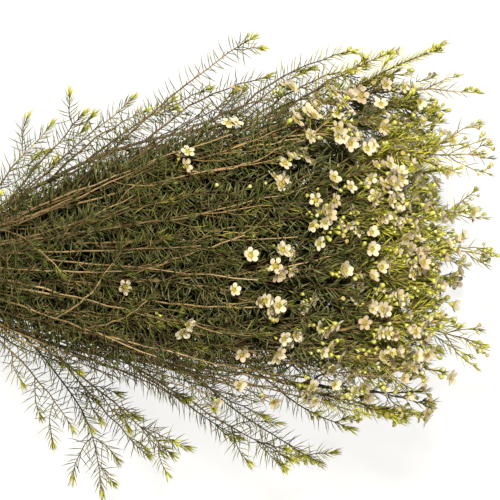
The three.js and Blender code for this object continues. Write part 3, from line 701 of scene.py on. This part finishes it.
def painted_shade_depth(point):
    """How deep a point lies under the top of the bunch and away from its edges, from 0 to 1, for painted shade.
    """
    under = (top_of_bunch(*point[:2])[2] - point[2] - 10) / 18
    from_edge = (0.7 - abs(share_of(point)[0])) / 0.25
    from_front = (530 - point[0]) / 80
    return max(min(under, from_edge, from_front, 1), 0)


bloom_places = np.array([
    (along + BLOOM_FORWARD, across) for along, across, heads in LONE_BLOOMS + CLUSTERS if "f" in heads])


def over_bloom(point):
    """Whether a point lies over a flower that shows on top of the bunch."""
    aside = np.min(np.linalg.norm(bloom_places - point[:2], axis=1))
    return aside < BLOOM_CLEARING and top_of_bunch(*point[:2])[2] - point[2] < BLOOM_DEPTH


def needles_on(twig, first, draw):
    """Pairs of needles along a twig and a tuft of short ones at its tip. They are pressed a little flat, as the
    bunch lies, and are broader and darker where it is thick: painted shade that fills the gaps with dark.
    On twigs outside the bunch their tones are lighter, painted light."""
    spots = []
    distance = max(first, twig.bare * twig.length)
    turn = 6 * draw.random()
    spread = draw.uniform(*NEEDLE_LEAN)
    outside = abs(share_of(twig.line[-1])[0]) > 0.9
    # Twigs outside the bunch take lighter tones, which is painted light.
    tone_of_twig = draw.uniform(*(OUTSIDE_PAINTED_LIGHT_TONES if outside else NEEDLE_TONES))
    while distance < twig.length - 1:
        base, along = twig.at(distance)
        head = in_head(base)
        deep = painted_shade_depth(base)
        on_top = min(max(1 - (top_of_bunch(*base[:2])[2] - base[2]) / 16, 0), 1) * (1 - head)
        grown = min((twig.length - distance) / 20, 1)
        height = OUTSIDE_FLATTENED if outside else FLATTENED * (1 - 0.6 * on_top)
        for side in (0, math.pi):
            lean = (spread + draw.uniform(-0.12, 0.12)) * (0.4 + 0.6 * grown) * (1 - 0.35 * head)
            heading = leaning(along, turn + side + draw.uniform(-0.2, 0.2), lean)
            heading = unit(heading * (1, 1, height))
            size = (draw.uniform(*NEEDLE_SIZES) * (0.5 + 0.5 * grown) * (1 - 0.3 * head)
                    * (OUTSIDE_SIZE if outside else 1))
            tone = tone_of_twig + draw.uniform(-0.1, 0.12) + 0.14 * (1 - grown)
            # Needles in the head turn more yellow-green: partly fresh growth, partly painted light that lifts
            # their shade.
            tone += head * draw.uniform(0.2, 0.52)
            # Painted shade: deep in the bunch the needle's tone is darkened and the needle broadened.
            tone *= 1 - 0.92 * deep
            axes = axes_along(heading, along + draw.uniform(-0.4, 0.4), (1 + 2.2 * deep) / size)
            if not over_bloom(base + 0.6 * NEEDLE_LENGTH * size * heading):
                spots.append((base, axes, size, min(max(tone, 0.01), 0.98)))
        turn += math.pi / 2 + draw.uniform(-0.15, 0.15) * (4 if outside else 1)
        pitch = NEEDLE_PITCH * draw.uniform(0.85, 1.15) * (0.5 + 0.5 * grown) * (1 - 0.4 * head)
        at_side = max(near_edge(base) * (1 - 0.7 * head), min(max((base[0] - 585) / 30, 0), 1))
        distance += OUTSIDE_PITCH * pitch if outside else pitch * (1 + 0.7 * deep + 1.3 * at_side)
    tip, along = twig.at(twig.length)
    fresh = draw.uniform(0.7, 0.9) if outside else tone_of_twig + 0.1 + 0.25 * in_head(tip)
    width, larger = (2.2, 0.12) if outside else (1.5, 0)
    for k in range(LARGER_TUFT if outside else TUFT):
        heading = leaning(along, turn + SPIRAL * k, draw.uniform(0.1, 0.7))
        axes = axes_along(heading, along + draw.uniform(-0.3, 0.3), width)
        size = draw.uniform(0.32, 0.52) + larger
        # Painted shade darkens the tufts deep in the bunch.
        tone = (fresh + draw.uniform(-0.08, 0.08)) * (1 - 0.8 * painted_shade_depth(tip))
        spots.append((tip, axes, size, tone))
    return spots


def tone_and_along(tree):
    lookup = tree.nodes.new("ShaderNodeUVMap")
    lookup.uv_map = "OFBake"
    parts = tree.nodes.new("ShaderNodeSeparateXYZ")
    tree.links.new(lookup.outputs["UV"], parts.inputs["Vector"])
    return parts.outputs["X"], parts.outputs["Y"]


def mixed(tree, share, first, second, blend="MIX"):
    mix = tree.nodes.new("ShaderNodeMix")
    mix.data_type = "RGBA"
    mix.blend_type = blend
    for name, value in (("Factor", share), ("A", first), ("B", second)):
        target = next(socket for socket in mix.inputs if socket.name == name and socket.enabled)
        if isinstance(value, bpy.types.NodeSocket):
            tree.links.new(value, target)
        else:
            target.default_value = value
    return next(socket for socket in mix.outputs if socket.enabled)


needle_leaf, tree, shader = new_material("needle leaf", 0.12)
tone, along = tone_and_along(tree)
# Painted shade deep in the bunch pulls needle tones towards the darkest stops.
leaf_colour = ramp(tree, [
    (0.0, (0.01, 0.009, 0.002)), (0.12, (0.02, 0.021, 0.003)), (0.22, (0.15, 0.155, 0.065)),
    (0.31, (0.034, 0.048, 0.01)), (0.4, (0.12, 0.1, 0.035)), (0.48, (0.045, 0.08, 0.012)),
    (0.58, (0.22, 0.2, 0.05)), (0.72, (0.3, 0.3, 0.03)), (1.0, (0.58, 0.56, 0.07))], tone)
lighter = ramp(tree, [(0.0, (0.75, 0.6, 0.45)), (0.2, (0.9, 0.9, 0.85)), (1.0, (1.15, 1.15, 1.1))], along)
surface(tree, shader, mixed(tree, 1.0, leaf_colour, lighter, "MULTIPLY"),
        grained(tree, (1, 1, 1), 1800, 2, (0.38, 0.55), strength=0.15, distance=0.0001))

for stem, leader in enumerate(leaders):
    draw = random.Random(SEED + 200 + stem)
    spots = needles_on(leader, LEADER_ENDS[stem] - LEAFY_END, draw)
    for twig in shoots_of[stem] + top_twigs_of[stem]:
        spots += needles_on(twig, SHOOT_LEAFY_FROM, draw)
    for twig in side_twigs_of[stem]:
        spots += needles_on(twig, SIDE_TWIG_LEAFY_FROM, draw)
    piece = scattered(f"stem_{stem + 1:02d}_needles", needle_shape(), spots)
    piece.data.materials.append(needle_leaf)
    belongs(piece, stem)

# ----------------------------------------
# The flowers. A thin stalk widens into a waxy yellow-green cup, and five round white petals
# stand round its rim, with a golden disc, ten short stamens and a style inside.

STALK_LENGTH = 10
CUP_HEIGHT = 4.4
CUP_RADIUS = 2.9
PETALS = 5
PETAL_RADIUS = 3.7
PETAL_REACH = 5.8  # of a petal's middle, from the middle of the cup
PETAL_ROOT = 1.8  # of its root
STAMENS = 10
STAMEN_LENGTH = 2.1
HEAD_PITCH = 5.5  # between pairs of flowers along a twig
FLOWER_SIZES = (0.78, 1.0)
BLOOM_LENGTH = 16
LOWEST_BLOOM = 6  # above the table


def turned_shape(profile, sides):
    """A closed shape turned from a profile of (radius, height) points, with its place along the profile."""
    shape = bmesh.new()
    along = shape.verts.layers.float.new("along")
    ring = bmesh.ops.create_circle(shape, cap_ends=True, segments=sides, radius=profile[0][0])["verts"]
    edges = list({edge for vert in ring for edge in vert.link_edges})
    for vert in ring:
        vert.co.z = profile[0][1]
    for k, (radius, height) in enumerate(profile[1:], 1):
        grown = bmesh.ops.extrude_edge_only(shape, edges=edges)["geom"]
        ring = [part for part in grown if isinstance(part, bmesh.types.BMVert)]
        edges = [part for part in grown if isinstance(part, bmesh.types.BMEdge)]
        for vert in ring:
            outward = vert.co.xy.normalized() * radius
            vert.co = (outward.x, outward.y, height)
            vert[along] = k / (len(profile) - 1)
    bmesh.ops.pointmerge(shape, verts=ring, merge_co=(0, 0, profile[-1][1]))
    bmesh.ops.recalc_face_normals(shape, faces=shape.faces)
    return shape


def cup_shape():
    rim = STALK_LENGTH + CUP_HEIGHT
    return turned_shape([
        (0.4, 0), (0.5, STALK_LENGTH), (1.9, STALK_LENGTH + 1.4), (CUP_RADIUS, rim),
        (CUP_RADIUS - 0.5, rim), (1.2, rim - 0.8), (0.1, rim + 1.6)], sides=7)


def petal_shape():
    """A round petal, thin at the edge and hollowed on its inner side. It lies with its root at the left."""
    shape = bmesh.new()
    along = shape.verts.layers.float.new("along")
    bmesh.ops.create_uvsphere(shape, u_segments=9, v_segments=3, radius=1.1)
    for vert in shape.verts:
        reach = vert.co.xy.length
        ripple = 0.2 * reach * math.sin(4 * math.atan2(vert.co.y, vert.co.x))
        vert[along] = 0.5 + 0.5 * vert.co.x
        vert.co.z = 0.1 * vert.co.z + 0.6 * reach ** 2 + ripple
    bmesh.ops.scale(shape, verts=shape.verts, vec=(PETAL_RADIUS, PETAL_RADIUS * 0.94, 1))
    return shape


def stamen_shape():
    shape = bmesh.new()
    along = shape.verts.layers.float.new("along")
    bmesh.ops.create_cone(shape, cap_ends=True, segments=3, radius1=0, radius2=0.4, depth=STAMEN_LENGTH)
    for vert in shape.verts:
        vert[along] = 1.0 if vert.co.z > 0 else 0.0
    return shape


def heads_on(twig, draw):
    """Where a twig's flowers and buds stand: in the leaf axils nearest its tip, turned outwards and up."""
    spots = []
    for k, kind in enumerate(twig.heads):
        back = min(2 + HEAD_PITCH * (k // 2), 0.7 * twig.length) + draw.uniform(0, 3)
        base, along = twig.at(twig.length - back)
        outside = np.array((0.4, (base[1] - middle(base[0])) / 200, 0.4 if base[2] > 40 else 0.1))
        side, up = across_axes(along)
        astray = 0.8 + 1.1 * in_head(base)
        turn = math.atan2(outside @ up, outside @ side) + draw.uniform(-astray, astray)
        heading = leaning(along, turn, draw.uniform(0.3, 1.0))
        if base[2] + heading[2] * BLOOM_LENGTH < LOWEST_BLOOM:
            heading = unit(heading + np.array((0, 0, 0.8)))
        axes = axes_along(heading, np.array((0.3, 0.9 * draw.uniform(-1, 1), 0.4)))
        size = draw.uniform(FLOWER_SIZES[0] - 0.12 * in_head(base), FLOWER_SIZES[1])
        spots.append((kind, base, axes, size))
    return spots


def petals_of(base, axes, size, tone, draw):
    """Five petals round the rim of a cup, each tilted up a little."""
    side, across, heading = axes
    rim = base + heading * (STALK_LENGTH + CUP_HEIGHT - 0.3) * size
    opened = draw.uniform(0.1, 0.6 + 0.4 * in_head(base))
    spots = []
    for k in range(PETALS):
        turn = 2 * math.pi * k / PETALS + draw.uniform(-0.08, 0.08)
        tilt = opened + draw.uniform(-0.25, 0.25)
        outward = side * math.cos(turn) + across * math.sin(turn)
        along = outward * math.cos(tilt) + heading * math.sin(tilt)
        normal = heading * math.cos(tilt) - outward * math.sin(tilt)
        petal_axes = np.array((along, np.cross(normal, along), normal))
        centre = rim + (outward * PETAL_ROOT + along * (PETAL_REACH - PETAL_ROOT)) * size
        spots.append((centre, petal_axes, size * draw.uniform(0.85, 1.06), tone))
    return spots


def stamens_of(base, axes, size, tone):
    side, across, heading = axes
    rim = base + heading * (STALK_LENGTH + CUP_HEIGHT + 0.7) * size
    spots = []
    for k in range(STAMENS):
        turn = 2 * math.pi * (k + 0.5) / STAMENS
        outward = side * math.cos(turn) + across * math.sin(turn)
        leaned = unit(heading - 0.35 * outward)
        spots.append((rim + outward * (CUP_RADIUS - 0.6) * size, axes_along(leaned, outward), size, tone))
    return spots


petal, tree, shader = new_material("petal", 0.35)
tone, along = tone_and_along(tree)
petal_colour = ramp(tree, [
    (0.0, (0.52, 0.475, 0.355)), (0.5, (0.47, 0.4, 0.29)), (1.0, (0.4, 0.31, 0.2))], tone)
rooted = ramp(tree, [
    (0.0, (0.5, 0.5, 0.12)), (0.18, (0.8, 0.8, 0.45)), (0.36, (0.96, 0.95, 0.88)), (0.55, (1, 1, 1))], along)
surface(tree, shader, mixed(tree, 1.0, petal_colour, rooted, "MULTIPLY"),
        grained(tree, (1, 1, 1), 700, 3, (0.42, 0.6), strength=0.25, distance=0.0002))
shader.inputs["Subsurface Weight"].default_value = 0.15
shader.inputs["Subsurface Radius"].default_value = (0.002, 0.002, 0.0015)

cup_wax, tree, shader = new_material("waxy cup", 0.5)
tone, along = tone_and_along(tree)
fresh = ramp(tree, [
    (0.0, (0.2, 0.2, 0.035)), (0.17, (0.34, 0.36, 0.05)), (0.33, (0.46, 0.47, 0.08)),
    (0.5, (0.42, 0.4, 0.08)), (0.7, (0.26, 0.2, 0.02)), (1.0, (0.4, 0.36, 0.06))], along)
faded = ramp(tree, [
    (0.0, (0.2, 0.16, 0.05)), (0.3, (0.34, 0.29, 0.1)), (0.6, (0.42, 0.34, 0.15)),
    (1.0, (0.36, 0.22, 0.08))], along)
old = ramp(tree, [(0.7, (0, 0, 0)), (0.9, (1, 1, 1))], tone)
surface(tree, shader, mixed(tree, old, fresh, faded),
        grained(tree, (1, 1, 1), 2200, 2, (0.28, 0.45), strength=0.3, distance=0.0001))

stamen_wax, tree, shader = new_material("stamen")
tone, along = tone_and_along(tree)
surface(tree, shader, ramp(tree, [(0.4, (0.55, 0.52, 0.3)), (0.9, (0.5, 0.34, 0.06))], along),
        grained(tree, (1, 1, 1), 2500, 2, (0.42, 0.6), strength=0.2, distance=0.0001))

bud_spots_of = []
for stem, leader in enumerate(leaders):
    draw = random.Random(SEED + 300 + stem)
    flowering = [leader, *shoots_of[stem], *side_twigs_of[stem]]
    heads = [head for twig in flowering for head in heads_on(twig, draw)]
    cups, petals, stamens, buds = [], [], [], []
    for kind, base, axes, size in heads:
        tone = draw.random()
        if kind == "f":
            cups.append((base, axes, size, 0.6 * tone))
            petals += petals_of(base, axes, size, tone ** 2, draw)
            stamens += stamens_of(base, axes, size, tone)
        elif kind == "s":  # a faded flower that has shed its petals
            cups.append((base, axes, 0.85 * size, 0.75 + 0.24 * tone))
        else:
            buds.append((base, axes, size * draw.uniform(0.6, 1.0), 0.98 * tone))
    bud_spots_of.append(buds)
    for kind, shape, spots, material, slot in (
            ("cups", cup_shape(), cups, cup_wax, "buds"), ("petals", petal_shape(), petals, petal, "petals"),
            ("stamens", stamen_shape(), stamens, stamen_wax, "petals")):
        piece = scattered(f"stem_{stem + 1:02d}_{kind}", shape, spots)
        piece.data.materials.append(material)
        if kind == "petals":
            piece.data.set_sharp_from_angle(angle=0.9)
        belongs(piece, stem)

# ----------------------------------------
# The buds. Waxy clubs on thin stalks in the leaf axils, green and small at first, then with a ball
# of folded petals that pales to white before it opens.


def bud_shape():
    return turned_shape([
        (0.35, 0), (0.4, 6), (1.5, 7.4), (2.2, 9.4), (2.75, 11.2), (2.1, 12.9), (0.1, 13.8)], sides=7)


bud_wax, tree, shader = new_material("bud", 0.5)
tone, along = tone_and_along(tree)
green_bud = ramp(tree, [
    (0.0, (0.17, 0.15, 0.03)), (0.3, (0.23, 0.23, 0.035)), (0.55, (0.32, 0.32, 0.05)),
    (1.0, (0.42, 0.4, 0.09))], along)
white_bud = ramp(tree, [
    (0.0, (0.16, 0.16, 0.03)), (0.3, (0.22, 0.24, 0.04)), (0.55, (0.32, 0.34, 0.08)),
    (0.68, (0.46, 0.45, 0.22)), (1.0, (0.54, 0.5, 0.34))], along)
ripe = ramp(tree, [(0.55, (0, 0, 0)), (0.8, (1, 1, 1))], tone)
surface(tree, shader, mixed(tree, ripe, green_bud, white_bud),
        grained(tree, (1, 1, 1), 2200, 2, (0.3, 0.48), strength=0.3, distance=0.0001))

for stem, spots in enumerate(bud_spots_of):
    piece = scattered(f"stem_{stem + 1:02d}_buds", bud_shape(), spots)
    piece.data.materials.append(bud_wax)
    belongs(piece, stem)

# ----------------------------------------
# The rubber band. One flat tan band wound three times round the bundle, side by side. It is
# pulled straight between the corner stems and stretched a little thinner in its outer turns.

BAND_TURN_WIDTH = 2.4
BAND_SIDE = 0.47  # from a turn's middle to its side, as a share
BAND_THINNED = 0.35  # how much thinner the outer turns are
BAND_ROUNDING = 0.35
CORNER_STEPS = 6  # round each corner stem


def band_corners():
    near, far, edge = OUTER_ROW[0], OUTER_ROW[-1], MIDDLE_ROW[-1]
    low, high = -ROW_HEIGHT, ROW_HEIGHT
    sites = [(near, low), (far, low), (edge, 0), (far, high), (near, high), (-edge, 0)]
    return [place(np.array(site), BAND_X)[1:] for site in sites]


def band_loop(radius):
    """The line round the bundle at a distance from the middles of its corner stems, as (y, z) points."""
    corners = band_corners()
    points = []
    for k, corner in enumerate(corners):
        before, after = corners[k - 1], corners[(k + 1) % len(corners)]
        start = math.atan2(corner[1] - before[1], corner[0] - before[0]) - math.pi / 2
        end = math.atan2(after[1] - corner[1], after[0] - corner[0]) - math.pi / 2
        sweep = (end - start) % (2 * math.pi)
        for step in range(CORNER_STEPS + 1):
            angle = start + sweep * step / CORNER_STEPS
            points.append(corner + radius * np.array((math.cos(angle), math.sin(angle))))
    return points


band = bmesh.new()
for turn_number in (-1, 0, 1):
    inner = STEM_RADIUS + FIT_GAP
    outer = inner + BAND_THICKNESS - (BAND_THINNED if turn_number else 0)
    rings = []
    for radius, side in ((inner, -BAND_SIDE), (inner, BAND_SIDE), (outer, BAND_SIDE), (outer, -BAND_SIDE)):
        loop = band_loop(radius)
        ring = bmesh.ops.create_circle(band, segments=len(loop), radius=1)["verts"]
        for vert, (y, z) in zip(ring, loop):
            vert.co = (BAND_X + (turn_number + side) * BAND_TURN_WIDTH, y, z)
        rings.append(list({edge for vert in ring for edge in vert.link_edges}))
    for k in range(4):
        bmesh.ops.bridge_loops(band, edges=rings[k - 1] + rings[k])
bmesh.ops.recalc_face_normals(band, faces=band.faces)
sharp = [edge for edge in band.edges if edge.calc_face_angle(0) > 1.2]
bmesh.ops.bevel(band, geom=sharp, offset=BAND_ROUNDING, segments=2, profile=0.5, affect="EDGES", material=-1)
bmesh.ops.scale(band, verts=band.verts, vec=(MM, MM, MM))
bmesh.ops.translate(band, verts=band.verts, vec=bunch_origin)
band_mesh = bpy.data.meshes.new("rubber_band_wound")
band.to_mesh(band_mesh)
band.free()
band_mesh.shade_smooth()
band_piece = add_thing("rubber_band_wound", band_mesh)

rubber, tree, shader = new_material("tan rubber", 0.35)
mottled = grained(tree, (1, 0.4, 0.4), 600)["Grain"]
surface(tree, shader, ramp(tree, [(0.3, (0.36, 0.19, 0.09)), (0.7, (0.5, 0.29, 0.14))], mottled),
        grained(tree, (1, 0.2, 0.2), 2500, roughness=(0.48, 0.64), strength=0.3, distance=0.0001))
band_mesh.materials.append(rubber)
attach(band_piece, "root")
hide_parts("rubber_band")

# ----------------------------------------
# The surface, the light and the camera. A white table top under soft studio light, seen from
# straight above with a long lens.

TABLE_SIZE = 30  # in metres, as the next three
TABLE_TOP = -0.0002
CAMERA_HEIGHT = 3.4
FOCUS_HEIGHT = 0.08
SENSOR_WIDTH = 36
VIEW_WIDTH = 475  # in millimetres, from the cut ends
VIEW_CENTRE = (417.5, 0)
WARM_WHITE = (1, 0.95, 0.85)
AMBIENT = 0.08
TABLE_GLOW = 0.64
TABLE_GLOW_SEEN = 0.2  # more where it is seen, to look nearly white

bpy.ops.mesh.primitive_plane_add(size=TABLE_SIZE)
table_top = bpy.context.object
table_top.name = "table_top"
table_top.location.z = TABLE_TOP
white, tree, shader = new_material("white table", 0.1)
shader.inputs["Roughness"].default_value = 0.9
shader.inputs["Base Color"].default_value = (0.14, 0.14, 0.14, 1)
shader.inputs["Emission Color"].default_value = (1, 0.99, 0.97, 1)
seen = tree.nodes.new("ShaderNodeLightPath").outputs["Is Camera Ray"]
glow = tree.nodes.new("ShaderNodeMath")
glow.operation = "MULTIPLY_ADD"
glow.inputs[1].default_value = TABLE_GLOW_SEEN
glow.inputs[2].default_value = TABLE_GLOW
tree.links.new(seen, glow.inputs[0])
tree.links.new(glow.outputs["Value"], shader.inputs["Emission Strength"])
table_top.data.materials.append(white)

world = bpy.data.worlds.new("studio")
bpy.context.scene.world = world
world.use_nodes = True
background = world.node_tree.nodes["Background"]
background.inputs["Color"].default_value = (*WARM_WHITE, 1)
background.inputs["Strength"].default_value = AMBIENT


def soft_light(name, stand, power, size):
    lamp = bpy.data.lights.new(name, "AREA")
    lamp.energy = power
    lamp.size = size
    lamp.color = WARM_WHITE
    holder = add_thing(name, lamp)
    holder.location = stand
    holder.rotation_euler = (-holder.location).to_track_quat("-Z", "Y").to_euler()


soft_light("key", (0.2, 0.9, 1.7), power=72, size=0.4)
soft_light("fill", (0.6, -1.0, 1.2), power=19, size=0.9)

camera = bpy.data.cameras.new("camera")
camera.sensor_width = SENSOR_WIDTH
camera.lens = SENSOR_WIDTH * CAMERA_HEIGHT / (VIEW_WIDTH * MM)
camera_holder = add_thing("camera", camera)
view_centre = np.array((*VIEW_CENTRE, 0)) * MM + bunch_origin
camera_holder.location = (view_centre[0], view_centre[1], CAMERA_HEIGHT + FOCUS_HEIGHT)
bpy.context.scene.camera = camera_holder
bpy.context.scene.view_settings.view_transform = "Standard"
